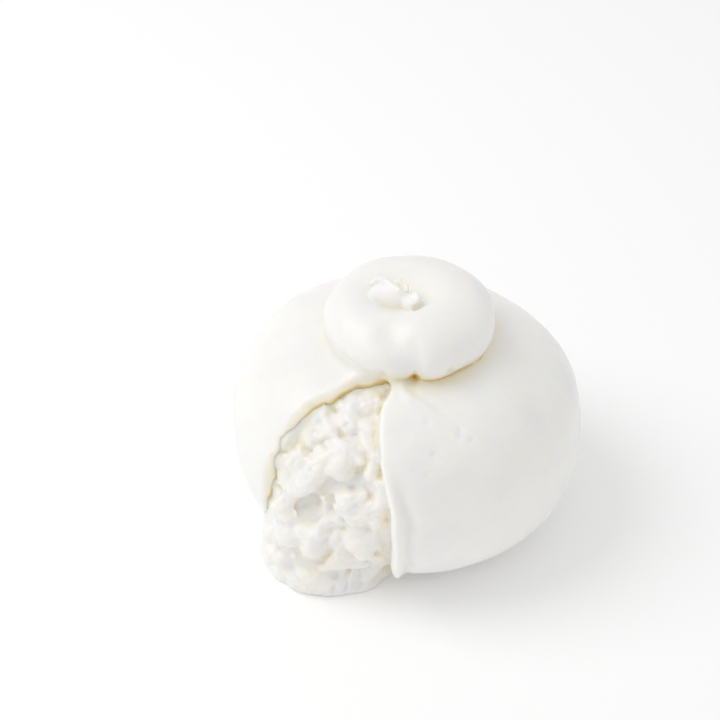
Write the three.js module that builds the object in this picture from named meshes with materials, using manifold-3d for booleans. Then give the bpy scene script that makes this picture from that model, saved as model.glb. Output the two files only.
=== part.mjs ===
// A burrata, cut open: a pouch of stretched curd, gathered into a knotted head, round a
// filling of curd shreds in cream. Millimetres, +Z up, the cut opens towards -Y, and the
// origin is on the floor under the middle of the pouch.
import * as THREE from 'three';
import { mergeVertices } from 'three/addons/utils/BufferGeometryUtils.js';
import Module from 'manifold-3d';

const wasm = await Module();
wasm.setup();

// ---- driving dimensions ----

// The pouch is a superellipse turned about Z, flattened where it rests on the floor.
const BODY = { radius: 43, equator: 24.6, rise: 28.3, drop: 26.6, squareness: 2.5 };
const LEAN = -0.035;                    // sideways lean, for each millimetre above the equator
const UNEVEN = [                        // waves round the body: lobes, height in mm, turn
  { lobes: 2, height: 0.5, turn: 0.9 },
  { lobes: 3, height: 0.35, turn: 2.1 },
  { lobes: 5, height: 0.2, turn: 0.4 },
];
const SHOULDER = { depth: 2.5, reach: 15 };   // hollow of the shoulder round the neck
const SKIN = 3.1;                       // thickness of the stretched curd
const NECK_THICKENING = 1.6;            // extra thickness below the head
const GAP = 0.3;                        // clearance between the pouch and the filling

// The head is a smaller flattened ball that sits on the shoulder.
const HEAD = { radius: 20.3, rise: 9.5, drop: 9, squareness: 2.3, offset: 0.5, height: 56 };
const DIMPLE = { x: -3.4, y: -1.5, depth: 3.4, reach: 6.2 };
const FOLD = { turn: 0.09, width: 0.2, depth: 2.1 };      // crease down the front of the head
const PLEATS = { count: 9, depth: 0.35 };                 // gathers round the underside

// The torn end of the curd lies in the dimple: a bent flap with a rolled end and a rim.
const NUB = { length: 12.8, width: 6.6, thickness: 4.2, height: 63.9, bend: 0.05, turn: -0.42 };
const TEETH = { along: [-0.3, -0.07, 0.1], radius: 1.5, height: 2.4 };

// The cut: two faces that meet under the head and open towards the front.
const CUT_APEX = new THREE.Vector2(-4.4, -16.5);
const LEFT_HEADING = THREE.MathUtils.degToRad(70);        // left of the front
const LEFT_SPREAD = { shift: 7.5, from: 36, to: 12 };     // flap pushed back near the floor
const RIGHT_EDGE = { top: -5.4, foot: -0.6, rise: 49 };
const CUT_REACH = 80;

// The filling slumps out of the cut onto the floor.
const SPILL = { x: -17.6, y: -20.2, radius: 16.8, height: 30, squareness: 3.2 };

// Large curds that show in the cut. Left and up are degrees as seen from the heart of the
// body, along, across and proud are half sizes, and turn is the long side's slope in degrees.
const LARGE_CURDS = [
  { left: 31, up: 38, along: 4.6, across: 3.4, proud: 2.2, turn: 20 },
  { left: 21, up: 40, along: 4.2, across: 3.2, proud: 2.4, turn: -30 },
  { left: 16, up: 31, along: 4.4, across: 3.4, proud: 2.3, turn: 60 },
  { left: 27.5, up: 19.5, along: 5.4, across: 4.1, proud: 3.1, turn: -10 },
  { left: 37, up: 14, along: 6.4, across: 4.4, proud: 1.7, turn: 70 },
  { left: 30, up: 9, along: 6.6, across: 2.5, proud: 2.6, turn: 48 },
  { left: 36, up: 2, along: 4.6, across: 2.2, proud: 2.4, turn: 40 },
  { left: 18.5, up: 10, along: 4.8, across: 3.6, proud: 2.6, turn: 15 },
  { left: 13, up: 3, along: 5.2, across: 4.2, proud: 2.3, turn: -60 },
  { left: 20, up: -4, along: 4.8, across: 4.2, proud: 2.4, turn: 30 },
  { left: 43, up: -9, along: 4.8, across: 3.6, proud: 2.2, turn: 80 },
  { left: 39, up: -14, along: 4.2, across: 3.4, proud: 2, turn: 0 },
  { left: 32, up: -12, along: 3.8, across: 3.3, proud: 2.8, turn: 0 },
  { left: 16.5, up: -15, along: 6.2, across: 5.2, proud: 3, turn: -20 },
  { left: 25, up: -22, along: 5.6, across: 3.2, proud: 1.8, turn: 5 },
  { left: 42, up: -23, along: 5.8, across: 3.2, proud: 2.2, turn: -8 },
];
// Small curds, spread evenly over the showing filling.
const SMALL_CURDS = { count: 34, left: [8, 47], up: [-24, 46], size: [1.3, 2.5], seed: 7 };
// A strand of curd that lies over the upper part of the filling.
const STRAND = {
  radius: 1.25,
  bulge: 0.8,
  course: [[41, 36.5], [37, 33], [31, 30], [26, 28], [21, 26.3], [17.5, 24]],
};

// Facets.
const SKIN_FACETS = { sides: 68, rings: 15 };
const INNER_FACETS = { sides: 44, rings: 10 };
const HEAD_FACETS = { sides: 48, rings: 9 };
const SPILL_FACETS = { sides: 28, rings: 8 };
const CUT_STEPS = 20;
const ABOVE_FLOOR = 200;                // size of the block that trims what is below the floor
const SEARCH_STEPS = 30;                // halvings that find the filling's surface
const LOOSE_SCRAP = 0.02;               // a piece below this share of a solid is dropped
const SLIVER = 0.01;                    // shortest facet edge that is kept

// ---- helpers ----

const bump = (distance) => Math.exp(-distance * distance);

function reshape(geometry, change) {
  const position = geometry.getAttribute('position');
  const point = new THREE.Vector3();
  for (let i = 0; i < position.count; i++) {
    point.fromBufferAttribute(position, i);
    change(point);
    position.setXYZ(i, point.x, point.y, point.z);
  }
  return geometry;
}

// A closed solid from a three.js geometry, without its seams and its empty facets.
function toSolid(geometry) {
  geometry.deleteAttribute('normal');
  geometry.deleteAttribute('uv');
  const merged = mergeVertices(geometry, 1e-4);
  const corners = merged.getIndex().array;
  const facets = [];
  for (let i = 0; i < corners.length; i += 3) {
    const [a, b, c] = [corners[i], corners[i + 1], corners[i + 2]];
    if (a !== b && b !== c && c !== a) facets.push(a, b, c);
  }
  const mesh = new wasm.Mesh({
    numProp: 3,
    vertProperties: new Float32Array(merged.getAttribute('position').array),
    triVerts: new Uint32Array(facets),
  });
  return new wasm.Manifold(mesh);
}

function toGeometry(solid) {
  const mesh = solid.getMesh();
  const geometry = new THREE.BufferGeometry();
  geometry.setAttribute('position', new THREE.BufferAttribute(mesh.vertProperties, 3));
  geometry.setIndex(new THREE.BufferAttribute(mesh.triVerts, 1));
  geometry.computeVertexNormals();
  return geometry;
}

const joinAll = (solids) => solids.reduce((joined, solid) => joined.add(solid));

// A solid without the scraps that a cut leaves loose.
function mainPiece(solid) {
  const smallest = LOOSE_SCRAP * solid.volume();
  return joinAll(solid.decompose().filter((piece) => piece.volume() > smallest));
}

// Rounded half outline from the bottom of the axis to its top, flat where it meets a floor.
function superellipse({ radius, rise, drop, squareness }, rings, floor = -Infinity) {
  const outline = [new THREE.Vector2(0, Math.max(-drop, floor))];
  const power = 2 / squareness;
  for (let ring = 1; ring < 2 * rings; ring++) {
    const angle = (ring / (2 * rings) - 0.5) * Math.PI;
    const up = Math.sign(angle) * Math.abs(Math.sin(angle)) ** power;
    const height = up * (up > 0 ? rise : drop);
    if (height <= floor) continue;
    if (outline.length === 1 && Number.isFinite(floor)) {
      const contact = radius * (1 - (-floor / drop) ** squareness) ** (1 / squareness);
      outline.push(new THREE.Vector2(contact, floor));
    }
    outline.push(new THREE.Vector2(radius * Math.cos(angle) ** power, height));
  }
  outline.push(new THREE.Vector2(0, rise));
  return outline;
}

// The outline turned about Z.
function turned(outline, sides) {
  return new THREE.LatheGeometry(outline, sides).rotateX(Math.PI / 2);
}

// ---- the pouch's body ----

// The body's shape, grown or shrunk all round. It is used for the outside of the skin, for
// the hollow inside it and for the filling.
function bodyForm(grow, { sides, rings }, neck = 0) {
  const sizes = {
    ...BODY,
    radius: BODY.radius + grow,
    rise: BODY.rise + grow,
    drop: BODY.drop + grow,
  };
  const form = turned(superellipse(sizes, rings, -BODY.equator - grow), sides);
  reshape(form, (point) => {
    const reach = Math.hypot(point.x, point.y);
    const around = Math.atan2(point.x, -point.y);
    const swell = UNEVEN.reduce((sum, wave) =>
      sum + wave.height * Math.sin(wave.lobes * around + wave.turn), 0);
    const spread = 1 + (swell / BODY.radius) * Math.min(1, reach / BODY.radius);
    const hollow = point.z > 0 ? (SHOULDER.depth + neck) * bump(reach / SHOULDER.reach) : 0;
    point.set(point.x * spread + LEAN * point.z, point.y * spread, point.z - hollow);
  });
  form.translate(0, 0, BODY.equator);
  return toSolid(form);
}

// ---- the cut ----

// What one cut face takes away: a tall block behind a face through apex. The face looks along
// +Y until it is turned, and it is shifted with height.
function cutSide(turn, apex, shiftAt) {
  const block = new THREE.BoxGeometry(2 * CUT_REACH, 2 * CUT_REACH, CUT_REACH, 1, 1, CUT_STEPS);
  block.translate(0, -CUT_REACH, CUT_REACH / 2 - 1);
  reshape(block, (point) => point.setY(point.y + shiftAt(point.z)));
  return toSolid(block.rotateZ(turn).translate(apex.x, apex.y, 0));
}

// The wedge between the two cut faces, grown or shrunk on both.
function cutWedge(grow = 0) {
  const { shift, from, to } = LEFT_SPREAD;
  const left = cutSide(Math.PI / 2 - LEFT_HEADING, CUT_APEX, (height) =>
    shift * (1 - THREE.MathUtils.smoothstep(height, to, from)) + grow);
  const { top, foot, rise } = RIGHT_EDGE;
  const right = cutSide(-Math.PI / 2, new THREE.Vector2(), (height) =>
    foot + (top - foot) * (Math.max(0, height) / rise) ** 2 + grow);
  return left.intersect(right);
}

// ---- the head and the torn end ----

function headForm(grow) {
  const sizes = {
    ...HEAD,
    radius: HEAD.radius + grow,
    rise: HEAD.rise + grow,
    drop: HEAD.drop + grow,
  };
  const form = turned(superellipse(sizes, HEAD_FACETS.rings), HEAD_FACETS.sides);
  reshape(form, (point) => {
    const reach = Math.hypot(point.x, point.y);
    const around = Math.atan2(point.x, -point.y);
    const outward = reach / HEAD.radius;
    const fold = FOLD.depth * bump((around - FOLD.turn) / FOLD.width) * outward ** 2;
    const low = Math.max(0, -point.z / HEAD.drop);
    const pleat = PLEATS.depth * Math.cos(PLEATS.count * around) * low * outward;
    const scale = 1 - (fold + pleat) / HEAD.radius;
    const toDimple = Math.hypot(point.x - DIMPLE.x, point.y - DIMPLE.y) / DIMPLE.reach;
    const dimple = point.z > 0 ? DIMPLE.depth * bump(toDimple) : 0;
    point.set(point.x * scale, point.y * scale, point.z - dimple);
  });
  return toSolid(form.translate(HEAD.offset, 0, HEAD.height));
}

// An ellipsoid with few facets, given by its half sizes.
function ball(halfX, halfY, halfZ, detail = 2) {
  return new THREE.IcosahedronGeometry(1, detail).scale(halfX, halfY, halfZ);
}

// The torn end: a bent flap, a rolled end at its right and three teeth on its raised rim.
function nubForm() {
  const { length, width, thickness, height, bend, turn } = NUB;
  const place = (geometry) => {
    reshape(geometry, (point) => point.set(
      point.x,
      point.y + bend * point.x ** 2,
      point.z - (bend / 3) * point.x ** 2,
    ));
    geometry.rotateZ(turn).translate(DIMPLE.x + HEAD.offset, DIMPLE.y, height);
    return toSolid(geometry);
  };
  const flap = place(ball(length / 2, width / 2, thickness / 2));
  const roll = place(ball(length / 4, width / 2.4, thickness / 1.9)
    .translate(length / 3.4, -width / 8, 0.2));
  const teeth = TEETH.along.map((along) => place(
    new THREE.ConeGeometry(TEETH.radius, TEETH.height, 7).rotateX(Math.PI / 2)
      .translate(along * length, width / 6, thickness / 2)));
  return joinAll([flap, roll, ...teeth]);
}

// ---- the two parts ----

// The pouch with its head. Grown by a clearance all round, it is also what the filling is
// cut back to.
function pouchSolid(grow = 0) {
  const skin = bodyForm(grow, SKIN_FACETS)
    .subtract(bodyForm(-SKIN - grow, INNER_FACETS, NECK_THICKENING))
    .subtract(cutWedge(-grow));
  return skin.add(headForm(grow)).add(nubForm());
}

const heart = new THREE.Vector3(0, 0, BODY.equator);

// Direction from the heart of the body, in degrees left of the front and up.
function sight(left, up) {
  const turn = THREE.MathUtils.degToRad(left);
  const climb = THREE.MathUtils.degToRad(up);
  return new THREE.Vector3(
    -Math.sin(turn) * Math.cos(climb),
    -Math.cos(turn) * Math.cos(climb),
    Math.sin(climb),
  );
}

// How full the filling is at a point: below zero inside the core or the spill.
function fillingLevel(point) {
  const height = point.z - BODY.equator;
  const half = (height > 0 ? BODY.rise : BODY.drop) - SKIN;
  const reach = Math.hypot(point.x - LEAN * height, point.y);
  const core = (reach / (BODY.radius - SKIN)) ** BODY.squareness
    + (Math.abs(height) / half) ** BODY.squareness;
  const spillReach = Math.hypot(point.x - SPILL.x, point.y - SPILL.y);
  const spill = (spillReach / SPILL.radius) ** SPILL.squareness
    + (Math.max(0, point.z) / SPILL.height) ** SPILL.squareness;
  return Math.min(core, spill) - 1;
}

// Where a line of sight from the heart leaves the filling.
function fillingPoint(left, up) {
  const direction = sight(left, up);
  const point = new THREE.Vector3();
  let near = 0;
  let far = 2 * BODY.radius;
  for (let step = 0; step < SEARCH_STEPS; step++) {
    const middle = (near + far) / 2;
    point.copy(heart).addScaledVector(direction, middle);
    if (fillingLevel(point) < 0) near = middle;
    else far = middle;
  }
  return point;
}

// A curd, flat against the filling: its long side lies along the surface.
function curd({ left, up, along, across, proud, turn }, detail) {
  const place = fillingPoint(left, up);
  const side = fillingPoint(left - 1, up).sub(place).normalize();
  const climb = fillingPoint(left, up + 1).sub(place);
  const outward = new THREE.Vector3().crossVectors(side, climb).normalize();
  climb.crossVectors(outward, side);
  const frame = new THREE.Matrix4().makeBasis(side, climb, outward).setPosition(place);
  const form = ball(along, across, proud, detail).rotateZ(THREE.MathUtils.degToRad(turn));
  return toSolid(form.applyMatrix4(frame));
}

// Small curds in an even spread, with sizes and turns drawn from a seed.
function smallCurds() {
  const { count, left, up, size, seed } = SMALL_CURDS;
  const golden = (Math.sqrt(5) - 1) / 2;
  const draw = (index, low, high) => {
    const wave = Math.sin(seed + index * 78.233) * 43758.5453;
    return low + (high - low) * (wave - Math.floor(wave));
  };
  return Array.from({ length: count }, (_, index) => curd({
    left: THREE.MathUtils.lerp(...left, (index * golden) % 1),
    up: THREE.MathUtils.lerp(...up, (index + 0.5) / count),
    along: draw(index, ...size) * 1.4,
    across: draw(index + count, ...size),
    proud: draw(index + 2 * count, ...size),
    turn: draw(index + 3 * count, 0, 180),
  }, 0));
}

function strandForm() {
  const points = STRAND.course.map(([left, up]) => {
    const point = fillingPoint(left, up);
    return point.addScaledVector(sight(left, up), STRAND.bulge);
  });
  const section = new THREE.Shape().absellipse(0, 0, STRAND.radius, STRAND.radius, 0, 2 * Math.PI);
  return toSolid(new THREE.ExtrudeGeometry(section, {
    curveSegments: 4,
    steps: 3 * points.length,
    extrudePath: new THREE.CatmullRomCurve3(points),
  }));
}

// The filling: a core that fills the pouch, the spill on the floor and the curds that show.
function fillingSolid() {
  const { x, y, radius, height, squareness } = SPILL;
  const sizes = { radius, rise: height, drop: height, squareness };
  const outline = superellipse(sizes, SPILL_FACETS.rings, 0);
  const spill = toSolid(turned(outline, SPILL_FACETS.sides).translate(x, y, 0));
  const curds = LARGE_CURDS.map((form) => curd(form, 1)).concat(smallCurds());
  const aboveFloor = toSolid(new THREE.BoxGeometry(ABOVE_FLOOR, ABOVE_FLOOR, ABOVE_FLOOR)
    .translate(0, 0, ABOVE_FLOOR / 2));
  const showing = joinAll([spill, strandForm(), ...curds])
    .intersect(cutWedge(-GAP))
    .intersect(aboveFloor);
  const core = bodyForm(-SKIN + GAP / 3, INNER_FACETS);
  return mainPiece(core.add(showing).subtract(pouchSolid(GAP)));
}

// ---- the model ----

function subPart(name, solid, material) {
  const mesh = new THREE.Mesh(toGeometry(solid.simplify(SLIVER)), material);
  mesh.name = name;
  return mesh;
}

const curdSkin = new THREE.MeshStandardMaterial({ color: 0xf4f3ef, roughness: 0.38, metalness: 0 });
const creamyCurd = new THREE.MeshStandardMaterial({ color: 0xf1efe6, roughness: 0.3, metalness: 0 });

const burrata = new THREE.Group();
burrata.add(subPart('pouch', mainPiece(pouchSolid()), curdSkin));
burrata.add(subPart('filling', fillingSolid(), creamyCurd));

export default burrata;
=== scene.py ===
"""A fresh burrata, cut open at the front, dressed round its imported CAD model.

Both pieces are closed surfaces where a field is zero. A field says how far, in millimetres, a
place lies outside the cheese, and is below zero inside it. +Z is up, the cut opens towards -Y
and the origin is on the floor under the middle of the pouch.
"""

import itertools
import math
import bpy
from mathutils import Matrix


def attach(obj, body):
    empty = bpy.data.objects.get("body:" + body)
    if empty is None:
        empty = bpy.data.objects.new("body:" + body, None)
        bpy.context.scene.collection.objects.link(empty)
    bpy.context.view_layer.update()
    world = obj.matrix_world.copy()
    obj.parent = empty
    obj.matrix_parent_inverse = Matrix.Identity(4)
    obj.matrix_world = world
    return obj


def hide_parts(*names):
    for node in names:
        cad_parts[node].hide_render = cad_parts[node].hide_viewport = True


bl_info = {
    "name": "Cut Burrata",
    "version": (1, 0, 0),
    "blender": (4, 5, 0),
    "location": "View3D > Sidebar > Burrata",
    "description": "Builds a fresh burrata that is cut open, so that its creamy filling shows",
    "category": "Add Mesh",
}

from concurrent.futures import ThreadPoolExecutor
from functools import lru_cache
from types import SimpleNamespace
from typing import NamedTuple

import bpy
import numpy as np
import openvdb
from bpy.props import FloatProperty, FloatVectorProperty, IntProperty, PointerProperty
from mathutils import Vector

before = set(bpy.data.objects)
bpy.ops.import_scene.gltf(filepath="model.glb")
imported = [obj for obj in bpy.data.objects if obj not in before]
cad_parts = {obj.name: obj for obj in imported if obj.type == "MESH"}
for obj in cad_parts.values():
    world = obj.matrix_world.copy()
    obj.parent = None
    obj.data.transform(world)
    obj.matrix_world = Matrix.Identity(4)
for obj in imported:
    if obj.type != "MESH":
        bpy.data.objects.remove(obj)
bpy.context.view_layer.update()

MM = 0.001

# ---- the pouch: sizes in millimetres ----

LEAN = -0.035                 # sideways lean, for each millimetre above the equator
BODY_SQUARENESS = 2.5
UNEVEN = ((2, 0.5, 0.9), (3, 0.35, 2.1), (5, 0.2, 0.4))     # lobes, height, turn
SHOULDER = SimpleNamespace(depth=2.5, reach=15.0, rise=9.0)  # the hollow round the neck
SKIN_RELIEF = SimpleNamespace(swell=0.2, ripple=0.07, foot=0.35, foot_place=1.5, foot_width=3.0)
GATHERS = SimpleNamespace(    # folds, twist, turn and share of the waves round the neck
    waves=((7.0, 0.12, 1.1, 1.0), (12.0, -0.2, 2.9, 0.7)),
    depth=0.18, place=24.0, width=9.0, rise=(4.0, 20.0), front_share=0.3, behind=(0.7, 1.6))
HEAD = SimpleNamespace(squareness=2.3, offset=0.5, swell=0.16)
DIMPLE = SimpleNamespace(x=-3.2, y=-1.3, depth=4.9, reach=7.2, rise=5.0)
PLEATS = SimpleNamespace(count=9, depth=0.35)
NECK = SimpleNamespace(       # tight at the front and right, looser round the left
    thickening=1.6, rise=14.0, tight=1.1, loose=2.8, front=(-0.05, 0.6), back=(-2.6, -1.6))
ROUNDING = SimpleNamespace(apex=0.7, lining=0.8, rim=1.3, foot=1.2)     # of its edges

# The cut: two faces that meet under the head and open towards the front.
CUT_APEX = (-4.4, -16.5)
CUT_MIDDLE = (-2.0, 4.0)      # from beside the left face to beside the right one
LEFT_HEADING = math.radians(70.0)
LEFT_SPREAD = SimpleNamespace(shift=1.4, start=36.0, end=10.0)
LIP = SimpleNamespace(
    set_back=2.2, start=37.0, end=47.0, bow=1.9, bow_place=43.0, bow_width=7.0, bevel=0.4,
    sway=0.4, nicks=0.14)
RIGHT_EDGE = SimpleNamespace(
    top=-6.0, foot=-2.8, start=29.0, end=45.0, turn=2.3, turned=(-27.0, -19.0),
    corner=1.6, corner_height=4.0, sway=0.2)
HEM = SimpleNamespace(
    roll=1.4, roll_place=1.4, roll_width=1.4, groove=0.8, groove_place=3.9, groove_width=1.5,
    rise=(3.0, 13.0), fall=(28.0, 44.0), front=(20.0, 30.0))

# ---- the filling ----

SPILL = SimpleNamespace(x=-17.6, y=-20.2, squareness=3.2)
SPILL_FOOT = SimpleNamespace(radius=17.2, height=4.6, squareness=4.0, blend=1.6)
CORE = SimpleNamespace(gap=0.15, blend=3.0)                 # gap to the skin round it
CREAM = SimpleNamespace(      # fillets up the two cut faces; sink is how far under the skin
    left=2.4, right=1.7, sink=1.3, rounding=0.8, ending=(0.3, 2.0), drop=4.0)
LIP_GAP = SimpleNamespace(width=1.1, depth=1.6, start=40.0, end=47.0)
OVERLAP = SimpleNamespace(depth=0.4, blend=0.25)            # into the pouch, against gaps
FLOOR_ROUNDING = 0.8
LUMPINESS = SimpleNamespace(lift=0.3, lumps=0.45, lump_crease=0.03, grain=0.04)
CURDLING = SimpleNamespace(depth=0.2, crease=0.02, calm=0.55, calm_waves=0.45, rise=(16.0, 30.0))
SMALL_CURDS = SimpleNamespace(
    seed=7, left=7.0, width=42.0, foot=-26.0, height=74.0, size=(0.7, 1.9),
    longer=(1.1, 1.9), flatter=(0.5, 0.8), blend=1.5)
LARGE_CURD_BLEND = 2.2
SHOWING = ((-44.0, -46.0, -2.0), (2.0, -10.0, 54.0))        # box round what shows
CLEAR = SimpleNamespace(      # levels past which curds, or the pouch, change nothing
    of_curds=5.0, of_pouch=3.0, deep=-6.0, under_skin=-9.0)

# ---- painted shade, and other shares that the materials read ----

SEAM_AND_CREASE_SHADE = SimpleNamespace(       # how far and how strongly golden shade is painted where cheese meets cheese, and in the crease under the head
    spread=1.4, more_spread=-0.3, share=0.6, more_share=0.25, start=38.0, end=47.0,
    right_loss=0.7, crease_spread=0.5, crease_share=0.6, crease_rise=(44.0, 48.0),
    crease_side=(-4.5, 1.5))
# Painted shade in crevices: how near other cheese lies straight out of the surface, at each reach
# and share.
CREVICE_SHARES = ((0.7, 0.35), (1.8, 0.4), (4.0, 0.25))     # reach in millimetres, share
# Painted warm shade in wide hollows, such as under the head's overhang: reach of the wide nearness,
# in millimetres.
WARM_SHADE_REACH = 9.0
INNER_SIDE = SimpleNamespace(depth=(0.3, 1.6), off_head=(0.0, 2.0), share=0.7)
CREAMINESS = SimpleNamespace(share=0.12, waves=0.15)

# ---- grids and faces ----

# Along X, Y and Z: from, to, step and finer stretches (from, to, step). These steps are shares
# of the piece's own STEP.
POUCH_GRID = (
    (-45.0, 45.5, 1.0, ((-11.0, 6.0, 0.5),)),
    (-46.0, 45.5, 1.0, ((-9.0, 6.0, 0.5), (-46.0, -15.0, 0.85))),
    (-1.2, 70.0, 1.0, ((60.0, 68.5, 0.5),)),
)
FILLING_GRID = (
    (-42.0, 42.0, 5.0, ((-42.0, 2.0, 1.0),)),
    (-44.0, 42.0, 5.0, ((-44.0, -13.0, 1.0),)),
    (-1.2, 53.0, 1.0, ()),
)
STEP = SimpleNamespace(pouch=0.5, quick_pouch=1.0, filling=0.3, quick_filling=0.7)
MOST_FACES = 190000
SHOWN_WEIGHT = 0.05           # share of the thinning that faces in sight take
HIDDEN_SKIN = SimpleNamespace(under=1.5, behind=7.0, top=50.0)
HIDDEN_FILLING = SimpleNamespace(behind=4.0, floor=0.6, under=3.0)
STEEPEST = 1.3                # rise of a field for each millimetre
FAR = 2.5                     # from the surface, where a field's value need not be exact
MOST_SETTLING = 0.3

# ---- looks: what does not change over a surface, and how each piece is grained ----

TINT_PATCHES = (0.42, 0.68)   # of the noise, from fresh to cool
# The tint steps paint shade: wide hollows turn cream, crevices cream, then golden, then amber in
# the deepest.
TINT_STEPS = (                # what is read, from and to which value, and the colour it brings in
    ("Hollow", 0.35, 1.1, "Cream"),
    ("Crevice", 0.35, 0.7, "Cream"),
    ("Crevice", 0.8, 1.25, "Golden"),
    ("Crevice", 1.5, 2.1, "Amber"),
)
FIBRES = SimpleNamespace(count=40.0, stretch=0.12, stray=4.0, stray_scale=60.0)
WET_SCALE = 140.0
WET_ROUGHNESS = {"From Min": 0.3, "From Max": 0.7, "To Min": 0.3, "To Max": 0.46}
RELIEF_HEIGHT = 0.0003        # metres
MOIST_CHEESE = {
    "IOR": 1.42,
    "Subsurface Radius": (1.0, 0.85, 0.62),
    "Coat Roughness": 0.18,
    "Coat IOR": 1.33,
}
SKIN_PATCH, SKIN_GRAIN = 70.0, {"Fibre": 0.2, "Pore size": 1300.0, "Pore": 0.35}
CURD_PATCH, CURD_GRAIN = 160.0, {"Fibre": 0.0, "Pore size": 700.0, "Pore": 0.6}
WHITE = (1.0, 1.0, 1.0, 1.0)

# ---- the photograph's view and light ----

PHOTO_SIDE = 720              # pixels
BODY_PIXELS = 350             # width of the body in the photograph
BODY_WIDTH = 86.0             # the same width in millimetres
BODY_CENTRE_PIXEL = (407, 418)
BODY_CENTRE_HEIGHT = 24.6
VIEW_ELEVATION = math.radians(40.0)
VIEW_DISTANCE = 550.0
SENSOR = 36.0
FLOOR_HALF = 2.5              # metres, like the key light's sizes
KEY = SimpleNamespace(place=(-0.395, 0.0, 0.56), aim=(0.0, 0.0, 0.03), width=0.5)


class Mark(NamedTuple):
    """A groove along a course of points, or a pit at one; with a depth below zero, a ridge."""

    course: tuple
    width: float
    depth: float


class Curd(NamedTuple):
    """A curd on the filling: its place, its half sizes in millimetres and its turn.

    Its place is in degrees left of the front and up, as seen from the heart of the body. Its
    turn is in degrees from level, along the surface that it lies on.
    """

    left: float
    up: float
    along: float
    across: float
    proud: float
    turn: float


# The torn end's forms, given in millimetres along, across and above its middle.
NUB_LOBES = (                 # middle, half sizes, blend
    ((-0.9, -0.6, -1.8), (5.7, 3.1, 4.0), 1.4),
    ((4.6, -1.5, -0.9), (2.4, 2.0, 2.8), 0.9),
)
NUB_RIMS = (
    ((-6.2, -0.9, 1.2), (-5.1, -0.2, 1.9), (-3.9, 0.5, 2.1), (-2.3, 0.2, 2.1),
     (-0.5, -0.5, 2.0), (1.2, -1.1, 1.8)),
    ((-1.5, 1.4, 1.4), (-0.1, 1.8, 1.9), (0.8, 0.7, 1.9), (2.4, 0.4, 1.8), (2.9, -0.4, 1.8)),
    ((4.0, 0.0, 1.6), (5.3, -0.7, 1.5), (6.2, -1.2, 1.0)),
)
NUB_RIM = SimpleNamespace(radius=0.5, blend=0.7)
NUB_TOOTH = SimpleNamespace(radius=0.5, taper=0.25, below=0.9, above=0.7, blend=0.5)
NUB_REACH = 9.0
NUB_TEETH = (                 # place, lean
    ((-5.2, -0.2, 1.8), -0.3), ((-3.9, 0.6, 2.1), -0.2), ((-0.1, 1.8, 1.9), 0.2),
    ((2.3, 0.4, 1.8), 0.2),
)
NUB_SLITS = (
    Mark(((-2.9, 1.2, 1.6), (-1.1, 0.6, 1.7), (0.9, -0.1, 1.7)), 0.5, 2.2),
    Mark(((2.7, 1.9, 0.9), (3.9, 0.8, 1.1), (4.9, 0.4, 0.9)), 0.6, 2.4),
    Mark(((5.6, 0.7, 0.6), (7.0, -0.2, 0.2), (7.1, -1.4, -0.2), (6.2, -2.8, -0.8)), 0.6, 1.6),
    Mark(((3.9, -1.9, 1.7), (4.6, -2.2, 1.5)), 1.1, 1.1),
)

HEAD_MARKS = (
    Mark(((-4.0, -15.6, 62.4), (-1.9, -18.9, 60.2), (-0.3, -20.1, 57.6), (1.4, -20.2, 54.7)),
         3.6, 1.5),
    Mark(((1.3, -17.6, 61.5), (1.8, -19.0, 60.0), (1.9, -20.1, 57.6), (1.9, -20.2, 54.0)),
         1.5, 0.5),
    Mark(((-0.8, -16.2, 62.4), (-0.3, -17.4, 61.6), (0.4, -19.3, 59.6)), 1.2, -0.2),
    Mark(((3.9, -20.2, 54.8), (4.6, -19.9, 57.0)), 1.5, -0.3),
    Mark(((1.2, -8.5, 64.9), (2.6, -9.7, 64.7), (4.2, -11.6, 64.1)), 0.6, 0.2),
    Mark(((-1.6, -7.5, 64.9), (-2.4, -9.3, 64.5)), 0.6, 0.35),
    Mark(((0.7, -7.2, 65.0), (3.0, -8.9, 64.7)), 0.6, 0.25),
    Mark(((-4.1, -7.8, 64.8), (-4.6, -9.9, 64.4)), 0.8, 0.2),
    Mark(((-5.9, -19.4, 54.0), (-5.6, -18.6, 52.8)), 0.9, 0.7),
    Mark(((10.5, -17.8, 54.2), (10.2, -16.8, 53.2)), 0.9, 0.8),
    Mark(((-8.6, -18.0, 53.6), (-11.6, -16.2, 53.8)), 1.2, -0.3),
)

SKIN_MARKS = (
    Mark(((0.0, -18.2, 51.0), (0.7, -20.0, 50.7), (3.1, -22.0, 50.3), (7.8, -25.6, 48.9)),
         1.1, 0.28),
    Mark(((-1.4, -18.6, 50.9), (-0.8, -21.3, 50.5), (0.6, -23.4, 50.0)), 0.9, -0.45),
    Mark(((4.8, -28.8, 47.9),), 0.9, 0.28),
    Mark(((12.4, -29.4, 46.2), (12.0, -31.0, 45.4)), 0.7, 0.25),
    Mark(((15.0, -30.9, 44.5),), 0.8, 0.3),
    Mark(((6.5, -35.2, 43.5),), 0.9, 0.3),
    Mark(((5.0, -38.4, 40.2),), 0.8, 0.26),
    Mark(((2.2, -37.9, 41.2),), 0.7, 0.2),
    Mark(((-26.3, -24.2, 43.9),), 0.9, 0.4),
    Mark(((-29.6, -25.8, 40.2), (-31.4, -26.4, 37.0)), 0.8, 0.3),
    Mark(((-33.5, -26.3, 32.0),), 0.9, 0.35),
)

NECK_MARKS = (
    Mark(((1.9, -20.9, 52.3), (1.8, -18.0, 51.7)), 0.95, 2.6),
    Mark(((1.9, -20.9, 53.4), (1.8, -18.0, 52.8)), 0.6, 2.0),
    Mark(((1.9, -20.9, 54.6), (1.8, -18.5, 54.0)), 0.4, 0.9),
    Mark(((-14.9, -12.8, 54.9), (-12.7, -15.3, 54.4), (-10.4, -17.3, 53.6), (-7.6, -18.9, 53.0)),
         0.7, 0.3),
    Mark(((-17.7, -19.5, 49.3), (-14.3, -17.1, 50.4), (-10.4, -14.8, 51.0)), 1.6, -0.35),
)
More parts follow.
